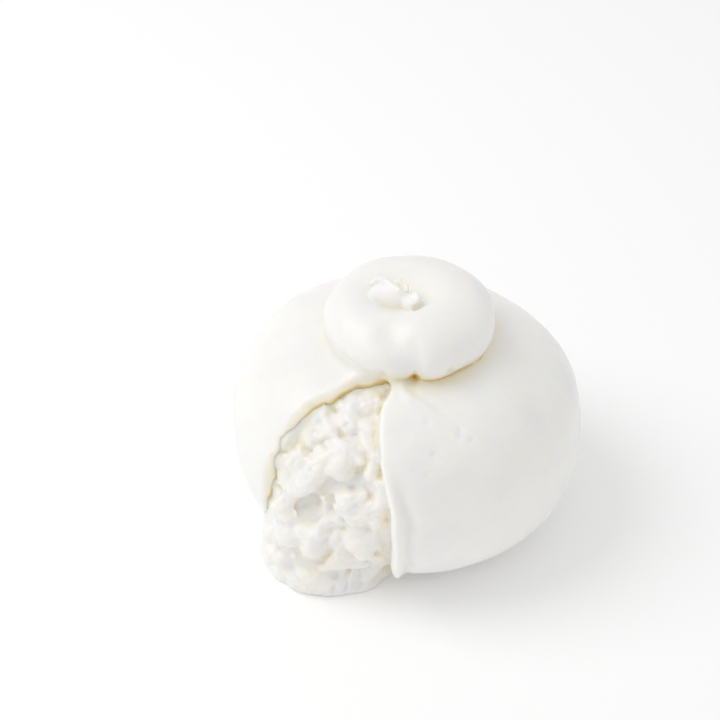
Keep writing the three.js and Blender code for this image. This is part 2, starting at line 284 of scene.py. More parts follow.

# Painted shade on the pouch, in the pinch under the head and in the torn end's crevices: their
# depth is the share of golden colour.
PAINTED_CREVICE_SHADE = (
    Mark(((1.9, -21.2, 52.5), (1.8, -17.0, 51.7)), 1.2, 1.9),
    Mark(((1.9, -21.2, 54.2),), 0.8, 0.5),
    Mark(((-3.6, -1.7, 66.1), (-2.3, -2.4, 66.0)), 0.7, 0.6),
    Mark(((0.6, -1.8, 65.4), (1.8, -2.6, 65.2)), 0.8, 0.7),
    Mark(((-0.2, -4.8, 65.9), (0.6, -5.4, 65.4)), 1.4, 0.25),
)

LARGE_CURDS = (
    Curd(40.5, 39.0, 2.2, 1.7, 1.1, 60),
    Curd(47.0, 24.5, 4.6, 3.2, 1.9, 85),
    Curd(44.0, 32.5, 3.4, 2.6, 1.5, 75),
    Curd(49.0, 15.5, 3.2, 2.4, 1.3, 90),
    Curd(30, 39.5, 3.2, 2.6, 1.3, 20),
    Curd(22.5, 45.5, 2.1, 1.7, 0.8, 0),
    Curd(16, 53, 1.1, 1.0, 1.8, 0),
    Curd(23, 51.5, 1.0, 0.9, 1.5, 0),
    Curd(40.5, 28, 3.4, 3.0, 1.2, 0),
    Curd(23.5, 22, 3.9, 3.6, 3.2, 90),
    Curd(30, 18, 3.2, 2.6, 2.3, 70),
    Curd(9.5, 25.5, 1.6, 1.3, 1.4, 90),
    Curd(13, 19.5, 1.5, 1.2, 1.3, 0),
    Curd(40.5, 10, 6.6, 4.2, 1.5, 80),
    Curd(35.5, 8.5, 6.2, 2.9, 2.7, 52),
    Curd(29, 7, 1.9, 1.6, 1.6, 0),
    Curd(21.5, 9.5, 2.0, 1.5, 1.4, 0),
    Curd(19.5, 12, 1.6, 1.2, 1.3, 0),
    Curd(42, -3.5, 2.0, 1.8, 1.4, 0),
    Curd(45, -10.5, 1.5, 1.3, 1.1, 90),
    Curd(40, -12, 3.3, 2.5, 2.4, 0),
    Curd(30.5, -11.5, 4.4, 3.2, 2.9, 90),
    Curd(30, -6.5, 2.3, 1.8, 2.6, 0),
    Curd(23, -10, 4.0, 1.6, 1.8, 85),
    Curd(14.5, -9, 4.6, 3.9, 3.2, -60),
    Curd(18, 5, 2.7, 2.5, 1.9, 0),
    Curd(12.5, 6, 2.6, 2.0, 1.7, 80),
    Curd(9, 4.5, 3.0, 1.2, 1.3, 70),
    Curd(6.5, 13, 2.5, 1.8, 0.9, 90),
    Curd(43.5, -21.5, 2.5, 2.3, 1.9, 0),
    Curd(20.5, -18.5, 4.8, 3.2, 1.5, 0),
    Curd(10.5, -24, 2.4, 2.0, 1.1, 0),
    Curd(28, -25.5, 3.7, 2.0, 1.5, 0),
    Curd(12.5, -30, 3.2, 1.8, 1.3, 0),
    Curd(37.5, -25, 3.2, 1.6, 1.2, 0),
)

STRAND = SimpleNamespace(     # its course is in degrees left and up, like the curds'
    course=((42, 37), (39.5, 34), (36, 31.5), (32.5, 29.5), (28.5, 28), (24.5, 27),
            (20.5, 25.5), (17, 23.5)),
    bulge=0.7, radius=1.15, blend=0.6)

# Grooves, ridges and pits of the filling. Their courses are degrees left and up, like the curds'.
FILLING_MARKS = (
    Mark(((39.5, 39), (36, 36.5)), 0.9, 0.3),
    Mark(((25.5, 42), (21.5, 37.5)), 1.2, 0.3),
    Mark(((26.5, 34.5),), 0.8, 0.5),
    Mark(((23, 31.5), (21.5, 32.5)), 1.0, 0.25),
    Mark(((28, 37.5), (25, 34.5), (20.5, 32), (16, 29.5), (12, 26.5)), 0.9, -0.5),
    Mark(((34, 32.5), (29.5, 31), (26.5, 30), (23.5, 29), (20.5, 27.5), (18.5, 26.5)), 0.7, 0.15),
    Mark(((20, 27.5),), 0.9, 0.2),
    Mark(((38.5, 27.5),), 0.7, 0.3),
    Mark(((38, 25.5), (36.5, 24), (34, 24.5), (30.5, 24.5)), 0.8, 0.4),
    Mark(((38, 20.5), (37.5, 17.5)), 0.9, 0.3),
    Mark(((33.5, 16.5),), 0.8, 0.4),
    Mark(((22.5, 14), (20, 14), (17.5, 16), (16.5, 19.5)), 1.9, 1.0),
    Mark(((18.5, 13.5),), 0.7, 0.4),
    Mark(((9, 23), (8.5, 19.5)), 0.8, 0.4),
    Mark(((26.5, 13), (28.5, 10.5), (31.5, 6), (33, 3.5), (36, 2), (37.5, -1.5)), 2.0, 1.5),
    Mark(((33.5, 1.5), (33, -3)), 2.2, 1.3),
    Mark(((25.5, 7), (26, 3)), 1.3, 1.4),
    Mark(((43, -18.5),), 0.7, 0.4),
    Mark(((36.5, -16), (35, -17)), 1.6, 0.6),
    Mark(((28, -9), (26.5, -12), (27.5, -16.5), (31, -19)), 1.8, 0.5),
    Mark(((20.5, 0), (20, -3)), 1.1, 0.25),
    Mark(((14, 15), (12, 12.5)), 1.1, 0.6),
    Mark(((12, -21), (8, -13), (5, -8)), 3.0, 0.8),
    Mark(((5.5, 8.5),), 1.0, 0.4),
    Mark(((46, -26.5), (40, -24), (34.5, -20.5), (29.5, -21), (26.5, -22), (23.5, -23.5)),
         1.8, 0.45),
    Mark(((23.5, -23.5), (20.5, -24.5), (18.5, -24), (16, -27), (12, -30), (8.5, -31.5)),
         1.8, 0.45),
    Mark(((20.5, -26),), 0.7, 0.8),
    Mark(((24, -25), (24, -29)), 0.6, 0.35),
    Mark(((20.5, -25.5), (20.5, -30)), 0.55, 0.6),
    Mark(((18.5, -25.5), (18, -30)), 0.55, 0.5),
    Mark(((17, -26.5), (16.5, -31)), 0.55, 0.5),
    Mark(((13, 51), (15, 47), (14.5, 43.5), (14, 41)), 0.7, 0.5),
)


# ---- fields ----

class Places:
    """Places where a field is worked out, in millimetres, and the box that holds them."""

    def __init__(self, points):
        self.points = points
        self.x, self.y, self.z = points
        self.low = points.min(axis=1).tolist()
        self.high = points.max(axis=1).tolist()

    def near(self, box, margin):
        return all(
            a < d + margin and b > c - margin
            for a, b, c, d in zip(self.low, self.high, *box))

    def moved(self, step):
        return Places(self.points + np.asarray(step, self.points.dtype)[:, None])


class Waves:
    """Smooth unevenness, mostly from -1 to 1, whose swells are about as long as length.

    It adds up plain waves, whose headings, pitches and phases are drawn from the seed.
    """

    def __init__(self, length, seed, count=9):
        draw = np.random.default_rng(seed)
        headings = draw.normal(size=(count, 3))
        headings /= np.linalg.norm(headings, axis=1)[:, None]
        pitch = 2.0 * math.pi / (length * draw.uniform(0.75, 1.35, count))
        self.headings = (headings * pitch[:, None]).astype(np.float32)
        self.phases = draw.uniform(0.0, 2.0 * math.pi, (count, 1)).astype(np.float32)
        self.scale = 0.7 * math.sqrt(2.0 / count)

    def __call__(self, p):
        return self.scale * np.sin(self.headings @ p.points + self.phases).sum(axis=0)


def bump(distance):
    """A smooth hill: 1 at no distance, about a third at 1 and nothing past 3."""
    return np.exp(-distance * distance)


def smooth_step(value, start, end):
    """0 up to the start, 1 from the end on, and a smooth rise between."""
    share = np.clip((value - start) / (end - start), 0.0, 1.0)
    return share * share * (3.0 - 2.0 * share)


def soft_min(a, b, blend):
    """Joins two fields; where they meet, a hollow of about the blend's width is filled."""
    overlap = np.maximum(blend - np.abs(a - b), 0.0)
    return np.minimum(a, b) - overlap * overlap / (4.0 * blend)


def soft_max(a, b, blend):
    """Keeps what both fields hold, with the edge rounded off."""
    return -soft_min(-a, -b, blend)


def turned(reach, height, radius, rise, drop, squareness):
    """A superellipse turned about Z, with its own height above and below its equator."""
    half = np.where(height > 0.0, np.float32(rise), np.float32(drop))
    outward = (reach / radius) ** squareness
    upward = (np.abs(height) / half) ** squareness
    total = outward + upward + 1e-9
    level = total ** (1.0 / squareness)
    slope = np.hypot(outward / (reach + 1e-6), upward / (np.abs(height) + 1e-6)) * level / total
    return (level - 1.0) / (slope + 1e-6)


class Lobe:
    """An ellipsoid with its half sizes along three axes, blended into what it lies on."""

    def __init__(self, centre, axes, half, blend):
        self.half = np.array(half, np.float32)[:, None]
        self.centre = np.array(centre, np.float32)
        self.share = np.array(axes, np.float32) / self.half
        self.offset = (self.share @ self.centre)[:, None]
        self.blend = blend
        self.reach = max(half) + blend

    def added(self, level, p):
        once = self.share @ p.points - self.offset
        twice = once / self.half
        near = np.sqrt((once * once).sum(axis=0)) + 1e-6
        lobe = near * (near - 1.0) / (np.sqrt((twice * twice).sum(axis=0)) + 1e-6)
        return soft_min(level, lobe, self.blend)


def course_distance(p, course):
    """Distance from a chain of straight stretches, or from a single point."""
    chain = course if len(course) > 1 else (course[0], course[0])
    nearest = None
    for start, end in zip(chain, chain[1:]):
        sx, sy, sz = (float(e - s) for s, e in zip(start, end))
        length2 = sx * sx + sy * sy + sz * sz + 1e-9
        dx, dy, dz = (c - float(s) for c, s in zip((p.x, p.y, p.z), start))
        share = np.clip((dx * sx + dy * sy + dz * sz) / length2, 0.0, 1.0)
        gap = (dx - share * sx) ** 2 + (dy - share * sy) ** 2 + (dz - share * sz) ** 2
        nearest = gap if nearest is None else np.minimum(nearest, gap)
    return np.sqrt(nearest)


@lru_cache(maxsize=None)
def box_of(course):
    """The lowest and highest corner of the box round a course."""
    return tuple(map(min, zip(*course))), tuple(map(max, zip(*course)))


def marked(level, p, marks, scale=1.0):
    """The field with its grooves, ridges and pits, whose courses may be on a smaller scale."""
    least = np.min(scale)
    for mark in marks:
        if p.near(box_of(mark.course), 3.0 * mark.width / least):
            away = scale * course_distance(p, mark.course) / mark.width
            level = level + mark.depth * bump(away)
    return level


def smooth_course(points, parts=4):
    """A chain that passes smoothly through the points."""
    points = np.array(points)
    padded = np.vstack([2 * points[0] - points[1], points, 2 * points[-1] - points[-2]])
    chain = []
    for a, b, c, d in zip(padded, padded[1:], padded[2:], padded[3:]):
        for t in np.linspace(0.0, 1.0, parts, endpoint=False):
            chain.append(0.5 * (
                2 * b + (c - a) * t + (2 * a - 5 * b + 4 * c - d) * t * t
                + (3 * b - a - 3 * c + d) * t ** 3))
    chain.append(points[-1])
    return tuple(tuple(point) for point in chain)


# ---- the pouch's fields ----

SWELL = Waves(24.0, 3)
RIPPLE = Waves(9.0, 5)
HEAD_SWELL = Waves(15.0, 8)
LIP_SWAY = Waves(10.0, 21)
LIP_NICKS = Waves(3.6, 22)
EDGE_SWAY = Waves(8.0, 23)
FOOT_SWAY = Waves(7.0, 24)


class Pouch:
    """The fields of the pouch: its body, its head with the torn end, and the cut."""

    def __init__(self, sizes):
        self.sizes = sizes
        along = np.array([math.cos(sizes.nub_turn), math.sin(sizes.nub_turn), 0.0])
        across = np.array([-along[1], along[0], 0.0])
        axes = np.array([along, across, (0.0, 0.0, 1.0)])
        origin = np.array([DIMPLE.x + HEAD.offset, DIMPLE.y, sizes.nub_height])

        def turned_course(course):
            return tuple(tuple(place) for place in origin + np.array(course) @ axes)

        self.nub_box = (tuple(origin - NUB_REACH), tuple(origin + NUB_REACH))
        self.nub_lobes = [
            Lobe(turned_course((middle,))[0], axes, half, blend)
            for middle, half, blend in NUB_LOBES
        ]
        self.nub_rims = [turned_course(course) for course in NUB_RIMS]
        self.nub_teeth = [
            turned_course(((u, v, w - NUB_TOOTH.below), (u + lean, v, w + NUB_TOOTH.above)))
            for (u, v, w), lean in NUB_TEETH
        ]
        self.nub_slits = [
            mark._replace(course=turned_course(mark.course)) for mark in NUB_SLITS
        ]

    def body(self, p, grow=0.0, neck=0.0):
        """The round body, grown all over, and with its neck hollowed by a little more."""
        sizes = self.sizes
        height = p.z - sizes.equator
        sideways = p.x - LEAN * height
        reach = np.hypot(sideways, p.y)
        around = np.arctan2(sideways, -p.y)
        swell = sum(size * np.sin(lobes * around + turn) for lobes, size, turn in UNEVEN)
        reach = reach / (1.0 + swell / sizes.radius * np.minimum(1.0, reach / sizes.radius))
        hollow = (SHOULDER.depth + neck) * bump(reach / SHOULDER.reach)
        raised = height + hollow * smooth_step(height, 0.0, SHOULDER.rise)
        return turned(
            reach, raised, sizes.radius + grow, sizes.rise + grow, sizes.drop + grow,
            BODY_SQUARENESS,
        )

    def relief(self, p):
        """Slow unevenness of the outer skin, and its gathers round the neck."""
        around = np.arctan2(p.x, -p.y)
        reach = np.hypot(p.x, p.y)
        start, end = GATHERS.rise
        high = smooth_step(p.z, self.sizes.equator + start, self.sizes.equator + end)
        fan = sum(
            share * np.sin(folds * around + twist * reach + turn)
            for folds, twist, turn, share in GATHERS.waves)
        behind = smooth_step(np.abs(around), *GATHERS.behind)
        behind = GATHERS.front_share + (1.0 - GATHERS.front_share) * behind
        ring = bump((reach - GATHERS.place) / GATHERS.width)
        gather = GATHERS.depth * fan * behind * high * ring
        near_foot = bump((p.z - SKIN_RELIEF.foot_place) / SKIN_RELIEF.foot_width)
        foot = SKIN_RELIEF.foot * FOOT_SWAY(p) * near_foot
        return gather + SKIN_RELIEF.swell * SWELL(p) + SKIN_RELIEF.ripple * RIPPLE(p) + foot

    def left_face(self, p, depth=0.0):
        """How far a place lies behind the left flap's cut face; below zero in the opening."""
        across = (p.y - CUT_APEX[1]) * math.sin(LEFT_HEADING)
        along = (p.x - CUT_APEX[0]) * math.cos(LEFT_HEADING)
        spread = LEFT_SPREAD.shift * smooth_step(-p.z, -LEFT_SPREAD.start, -LEFT_SPREAD.end)
        lip = LIP.set_back * smooth_step(p.z, LIP.start, LIP.end) - LIP.bevel * depth
        lip = lip - LIP.bow * bump((p.z - LIP.bow_place) / LIP.bow_width)
        ragged = LIP.sway * LIP_SWAY(p) + LIP.nicks * LIP_NICKS(p)
        return across - along - spread - lip - ragged

    def right_face(self, p):
        """How far a place lies right of the right flap's edge; below zero in the opening."""
        high = smooth_step(p.z, RIGHT_EDGE.start, RIGHT_EDGE.end)
        edge = RIGHT_EDGE.foot + (RIGHT_EDGE.top - RIGHT_EDGE.foot) * high
        edge = edge + RIGHT_EDGE.corner * bump(p.z / RIGHT_EDGE.corner_height)
        edge = edge + RIGHT_EDGE.turn * smooth_step(p.y, *RIGHT_EDGE.turned)
        return p.x - edge - RIGHT_EDGE.sway * EDGE_SWAY(p)

    def opening(self, p, depth=0.0):
        """How far a place lies outside the cut; below zero between its two faces."""
        return soft_max(self.left_face(p, depth), self.right_face(p), ROUNDING.apex)

    def rightward(self, p):
        """Where a place lies between the flaps: 0 beside the left one, 1 beside the right one."""
        return smooth_step(self.right_face(p) - self.left_face(p), *CUT_MIDDLE)

    def hem(self, p):
        """The rolled hem low on the right flap's edge, and the groove beside it."""
        beside = self.right_face(p)
        low = smooth_step(p.z, *HEM.rise) - smooth_step(p.z, *HEM.fall)
        front = smooth_step(-p.y, *HEM.front)
        groove = HEM.groove * bump((beside - HEM.groove_place) / HEM.groove_width)
        roll = HEM.roll * bump((beside - HEM.roll_place) / HEM.roll_width)
        return low * front * (groove - roll)

    def head(self, p):
        """The knotted head: a flat round with pleats below, a dimple on top and its torn end."""
        sizes = self.sizes
        dx, dy, height = p.x - HEAD.offset, p.y, p.z - sizes.head_height
        reach = np.hypot(dx, dy)
        around = np.arctan2(dx, -dy)
        outward = reach / sizes.head_radius
        low = np.clip(-height / sizes.head_drop, 0.0, 1.0)
        pleat = PLEATS.depth * np.cos(PLEATS.count * around) * low * outward
        to_dimple = np.hypot(dx - DIMPLE.x, dy - DIMPLE.y) / DIMPLE.reach
        dimple = DIMPLE.depth * bump(to_dimple) * smooth_step(height, 0.0, DIMPLE.rise)
        level = turned(
            reach, height, sizes.head_radius, sizes.head_rise, sizes.head_drop, HEAD.squareness
        )
        level = level + pleat + dimple + HEAD.swell * HEAD_SWELL(p)
        return self.torn_end(marked(level, p, HEAD_MARKS), p)

    def torn_end(self, level, p):
        """Adds the torn end of the curd: a folded tongue, a ragged rim and a rolled end."""
        if not p.near(self.nub_box, 0.0):
            return level
        for lobe in self.nub_lobes:
            level = lobe.added(level, p)
        for course in self.nub_rims:
            level = soft_min(level, course_distance(p, course) - NUB_RIM.radius, NUB_RIM.blend)
        for course in self.nub_teeth:
            above = np.clip(p.z - 0.5 * (course[0][2] + course[1][2]), -1.0, 1.0)
            radius = NUB_TOOTH.radius - NUB_TOOTH.taper * above
            level = soft_min(level, course_distance(p, course) - radius, NUB_TOOTH.blend)
        return marked(level, p, self.nub_slits)

    def level(self, p):
        """The whole pouch: skin, cut, head and the flat foot on the floor."""
        body = self.body(p)
        outer = marked(body + self.relief(p) + self.hem(p), p, SKIN_MARKS)
        inner = self.body(p, -self.sizes.skin, NECK.thickening)
        depth = np.clip(-body, 0.0, self.sizes.skin)
        level = soft_max(outer, -inner, ROUNDING.lining)
        level = soft_max(level, -self.opening(p, depth), ROUNDING.rim)
        if p.high[2] > self.sizes.equator + NECK.rise:
            around = np.arctan2(p.x - HEAD.offset, -p.y)
            loose = smooth_step(-around, *NECK.front) * smooth_step(around, *NECK.back)
            level = soft_min(level, self.head(p), NECK.tight + NECK.loose * loose)
            level = marked(level, p, NECK_MARKS)
        return soft_max(level, -p.z, ROUNDING.foot)


# ---- the filling's fields ----

LUMPS = Waves(9.0, 31, 10)
CURDLE = Waves(3.4, 33, 12)
GRAIN = Waves(1.5, 32, 12)
CALM = Waves(16.0, 34)
CREAM_PATCHES = Waves(14.0, 41)


def sight(left, up):
    """Directions from the heart of the body, given in degrees left of the front and up."""
    turn, climb = np.radians(left), np.radians(up)
    return np.array([-np.sin(turn) * np.cos(climb), -np.cos(turn) * np.cos(climb), np.sin(climb)])


class Filling:
    """The fields of the filling: core, spill, curds, strand and pits."""

    def __init__(self, pouch, sizes):
        self.pouch = pouch
        self.sizes = sizes
        self.heart = np.array([[0.0], [0.0], [pouch.sizes.equator]])
        self.curds = self.laid(LARGE_CURDS, LARGE_CURD_BLEND)
        self.curds += self.laid(self.small_curds(), SMALL_CURDS.blend)
        self.centres = np.array([curd.centre for curd in self.curds])
        self.reaches = np.array([[curd.reach] for curd in self.curds])
        left, up = np.array(STRAND.course).T
        course = (self.surface(left, up) + STRAND.bulge * sight(left, up)).T
        self.strand = smooth_course(course)
        self.marks = [
            mark._replace(course=tuple(tuple(sight(left, up)) for left, up in mark.course))
            for mark in FILLING_MARKS
        ]

    def spill(self, p):
        """The mound that has slumped out, on its wide low foot."""
        reach = np.hypot(p.x - SPILL.x, p.y - SPILL.y)
        above = np.clip(p.z, 0.0, None)
        mound = turned(
            reach, above, self.sizes.spill_radius, self.sizes.spill_height, 1.0,
            SPILL.squareness,
        )
        foot = turned(
            reach, above, SPILL_FOOT.radius, SPILL_FOOT.height, 1.0, SPILL_FOOT.squareness)
        return soft_min(mound, foot, SPILL_FOOT.blend)

    def base(self, p):
        """The bare filling: the core inside the pouch, and the spill."""
        core = self.pouch.body(p, -self.pouch.sizes.skin - CORE.gap)
        return soft_min(core, self.spill(p), CORE.blend)

    def surface(self, left, up, steps=26):
        """Where lines of sight from the heart leave the bare filling."""
        direction = sight(np.asarray(left, float), np.asarray(up, float))
        near = np.zeros(direction.shape[1])
        far = near + 2.0 * self.pouch.sizes.radius
        for _ in range(steps):
            middle = (near + far) / 2.0
            points = (self.heart + direction * middle).astype(np.float32)
            inside = self.base(Places(points)) < 0.0
            near = np.where(inside, middle, near)
            far = np.where(inside, far, middle)
        return self.heart + direction * near

    def laid(self, curds, blend):
        """The curds laid flat against the filling, each turned along its surface."""
        left, up, along, across, proud, turn = np.array(curds).T
        place = self.surface(left, up)
        side = self.surface(left - 1.0, up) - place
        side /= np.linalg.norm(side, axis=0)
        outward = np.cross(side, self.surface(left, up + 1.0) - place, axis=0)
        outward /= np.linalg.norm(outward, axis=0)
        climb = np.cross(outward, side, axis=0)
        long_side = np.cos(np.radians(turn)) * side + np.sin(np.radians(turn)) * climb
        short_side = np.cross(outward, long_side, axis=0)
        axes = np.stack([long_side, short_side, outward])
        return [
            Lobe(place[:, i], axes[:, :, i], (along[i], across[i], proud[i]), blend)
            for i in range(len(left))
        ]

    def small_curds(self):
        """Small curds in an even spread, with sizes and turns drawn from a seed."""
        spread = SMALL_CURDS
        draw = np.random.default_rng(spread.seed)
        count = self.sizes.small_curds
        size = draw.uniform(*spread.size, count)
        golden = (math.sqrt(5.0) - 1.0) / 2.0
        return np.stack([
            spread.left + spread.width * ((np.arange(count) * golden) % 1.0),
            spread.foot + spread.height * (np.arange(count) + 0.5) / count,
            size * draw.uniform(*spread.longer, count),
            size,
            size * draw.uniform(*spread.flatter, count),
            draw.uniform(0.0, 180.0, count),
        ], axis=1)

    def roughness(self, p):
        """Rounded lumps with creases between them, calmer where cream covers them."""
        calm = CURDLING.calm + CURDLING.calm_waves * np.clip(CALM(p), -1.0, 1.0)
        calm = calm * (0.5 + 0.5 * smooth_step(p.z, *CURDLING.rise))
        lumps = LUMPINESS.lumps * np.sqrt(LUMPS(p) ** 2 + LUMPINESS.lump_crease)
        curdle = CURDLING.depth * calm * np.sqrt(CURDLE(p) ** 2 + CURDLING.crease)
        return LUMPINESS.lift - lumps - curdle + LUMPINESS.grain * GRAIN(p)

    def scored(self, level, p):
        """Adds the marks, which are drawn as seen from the heart of the body."""
        away = p.points - self.heart.astype(np.float32)
        reach = np.linalg.norm(away, axis=0) + 1e-3
        return marked(level, Places(away / reach), self.marks, reach)

    def level(self, p):
        """The whole filling, held back by the pouch."""
        level = self.base(p)
        if level.min() > CLEAR.of_curds:
            return level
        close = (self.centres < np.array(p.high) + self.reaches).all(axis=1)
        close &= (self.centres > np.array(p.low) - self.reaches).all(axis=1)
        for index in np.nonzero(close)[0]:
            level = self.curds[index].added(level, p)
        if p.near(box_of(self.strand), 4.0):
            strand = course_distance(p, self.strand) - STRAND.radius
            level = soft_min(level, strand, STRAND.blend)
        if p.near(SHOWING, 0.0):
            level = self.scored(level, p) + self.roughness(p)
        skin = self.pouch.body(p)
        deep = level.max() < CLEAR.deep and skin.max() < CLEAR.under_skin
        if deep or level.min() > CLEAR.of_pouch:
            return level
        beside = self.pouch.opening(p)
        wall = soft_max(-beside, skin + CREAM.sink, CREAM.rounding)
        wall = wall + CREAM.drop * smooth_step(beside, *CREAM.ending)
        to_right = self.pouch.rightward(p)
        level = soft_min(level, wall, CREAM.left + (CREAM.right - CREAM.left) * to_right)
        high = smooth_step(p.z, LIP_GAP.start, LIP_GAP.end)
        gap = LIP_GAP.width * high * (1.0 - to_right) * bump(skin / LIP_GAP.depth)
        level = soft_max(level, gap - OVERLAP.depth - self.pouch.level(p), OVERLAP.blend)
        return soft_max(level, -p.z, FLOOR_ROUNDING)


# ---- meshes ----

def grid_line(start, end, coarse, stretches, step):
    """Grid places from start to end, whose steps are shares of the given step."""
    line = [start]
    while line[-1] < end:
        share = min([s for a, b, s in stretches if a <= line[-1] < b], default=coarse)
        line.append(line[-1] + share * step)
    return np.array(line, dtype=np.float32)


def at_once(work, parts):
    """Works on the parts side by side, and gives the results in the order of the parts."""
    with ThreadPoolExecutor() as pool:
        return list(pool.map(work, parts))


def sample(field, lines, block=24):
    """The field on the grid. Blocks far from the surface take the value at their middle."""
    spans = [[slice(i, i + block) for i in range(0, len(line), block)] for line in lines]
    ends = [np.array([(line[s][0], line[s][-1]) for s in part]) for line, part in zip(lines, spans)]
    low, high = (
        np.stack(np.meshgrid(*(end[:, side] for end in ends), indexing="ij")).reshape(3, -1)
        for side in (0, 1))
    reach = 0.5 * np.linalg.norm(high - low, axis=0)
    middle = field(Places((0.5 * (low + high)).astype(np.float32)))
    far = np.abs(middle) > STEEPEST * reach + FAR
    values = np.empty([len(line) for line in lines], dtype=np.float32)
    boxes = list(itertools.product(*spans))

    def fill(index):
        box = boxes[index]
        if far[index]:
            values[box] = middle[index]
            return
        grid = np.stack(np.meshgrid(*(line[s] for line, s in zip(lines, box)), indexing="ij"))
        values[box] = field(Places(grid.reshape(3, -1))).reshape(grid.shape[1:])

    at_once(fill, range(len(boxes)))
    return values


def in_blocks(work, p, size=8192):
    """Works along the places a block at a time, so that each block meets few features."""
    starts = range(0, p.points.shape[1], size)
    parts = at_once(lambda start: work(Places(p.points[:, start:start + size])), starts)
    return np.concatenate(parts, axis=-1)


def outward_at(field, p, step=0.06):
    """Level and outward direction of a field at each place, from four places round it."""
    sides = np.array(((1, -1, -1), (-1, -1, 1), (-1, 1, -1), (1, 1, 1)), np.float32)
    levels = in_blocks(lambda part: np.stack([field(part.moved(step * s)) for s in sides]), p)
    slope = sides.T @ levels / (4.0 * step)
    length = np.linalg.norm(slope, axis=0) + 1e-9
    return levels.mean(axis=0) / length, slope / length


def polygon_mesh(name, places, triangles, quads):
    """A mesh of triangles and quads over places that are given in millimetres."""
    mesh = bpy.data.meshes.new(name)
    corners = np.concatenate([triangles.ravel(), quads.ravel()])
    sides = np.concatenate([np.full(len(triangles), 3), np.full(len(quads), 4)])
    starts = np.concatenate([[0], np.cumsum(sides)[:-1]])
    mesh.vertices.add(len(places))
    mesh.vertices.foreach_set("co", (places * MM).astype(np.float32).ravel())
    mesh.loops.add(len(corners))
    mesh.loops.foreach_set("vertex_index", corners.astype(np.int32))
    mesh.polygons.add(len(sides))
    mesh.polygons.foreach_set("loop_start", starts.astype(np.int32))
    mesh.update(calc_edges=True)
    mesh.validate()
    return mesh


def vertex_places(mesh):
    """The mesh's corners as places, in millimetres."""
    flat = np.empty(3 * len(mesh.vertices), dtype=np.float32)
    mesh.vertices.foreach_get("co", flat)
    return Places(flat.reshape(-1, 3).T / np.float32(MM))


def triangle_count(mesh):
    return sum(len(polygon.vertices) - 2 for polygon in mesh.polygons)


def thinned(mesh, hidden):
    """The mesh with its faces reduced to MOST_FACES, mainly where they are hidden."""
    count = triangle_count(mesh)
    if count <= MOST_FACES:
        return mesh
    piece = bpy.data.objects.new(mesh.name, mesh)
    bpy.context.scene.collection.objects.link(piece)
    group = piece.vertex_groups.new(name="hidden")
    for chosen, weight in ((~hidden, SHOWN_WEIGHT), (hidden, 1.0)):
        group.add(np.nonzero(chosen)[0].tolist(), weight, "REPLACE")
    modifier = piece.modifiers.new("thin", "DECIMATE")
    modifier.ratio = MOST_FACES / count
    modifier.vertex_group = group.name
    modifier.vertex_group_factor = 1.0
    view = piece.evaluated_get(bpy.context.evaluated_depsgraph_get())
    thin = bpy.data.meshes.new_from_object(view)
    bpy.data.objects.remove(piece)
    return thin


def settle(mesh, field):
    """Moves each corner onto the field's zero level, and returns the outward directions."""
    places = vertex_places(mesh)
    level, outward = outward_at(field, places)
    step = np.clip(level, -MOST_SETTLING, MOST_SETTLING)
    places = Places(places.points - outward * step)
    mesh.vertices.foreach_set("co", (places.points.T * MM).astype(np.float32).ravel())
    return places, outward_at(field, places)[1]


def store(mesh, name, values):
    """Keeps one value for each corner, for the material to read."""
    attribute = mesh.attributes.new(name, "FLOAT", "POINT")
    attribute.data.foreach_set("value", values.astype(np.float32))


def closeness(places, outward, levels, reach):
    """How near other cheese is, straight out of the surface: 0 in the open, 1 in a gap."""
    over = Places(places.points + outward * np.float32(reach))
    return np.clip(1.0 - in_blocks(levels, over) / reach, 0.0, 1.0)


def surface_piece(name, field, plan, step, hidden):
    """A piece at the field's zero level, with places and outward directions of its corners."""
    lines = [grid_line(*row, step) for row in plan]
    values = sample(field, lines)
    grid = openvdb.FloatGrid(float(values.max()))
    grid.copyFromArray(values)
    corners, triangles, quads = grid.convertToPolygons(0.0, 0.0)
    points = np.stack([
        np.interp(corners[:, axis], np.arange(len(line)), line)
        for axis, line in enumerate(lines)])
    mesh = polygon_mesh(name, points.T, triangles, quads)
    mesh = thinned(mesh, hidden(Places(points.astype(np.float32))))
    mesh.name = name
    places, outward = settle(mesh, field)
    mesh.polygons.foreach_set("use_smooth", np.ones(len(mesh.polygons), dtype=bool))
    mesh.normals_split_custom_set_from_vertices(outward.T.astype(np.float32).tolist())
    mesh.update()
    piece = bpy.data.objects.new(name, mesh)
    bpy.context.scene.collection.objects.link(piece)
    return piece, places, outward


# ---- node groups ----

def set_inputs(node, values):
    """Sets a node's inputs to plain values, given by the inputs' names."""
    for label, value in values.items():
        node.inputs[label].default_value = value


def new_group(name, inputs, outputs):
    """A node group with named sockets. An input is (name, kind, default)."""
    group = bpy.data.node_groups.new(name, "ShaderNodeTree")
    for label, kind, default in inputs:
        socket = group.interface.new_socket(label, in_out="INPUT", socket_type=kind)
        socket.default_value = default
    for label, kind in outputs:
        group.interface.new_socket(label, in_out="OUTPUT", socket_type=kind)
    return group, group.nodes.new("NodeGroupInput"), group.nodes.new("NodeGroupOutput")


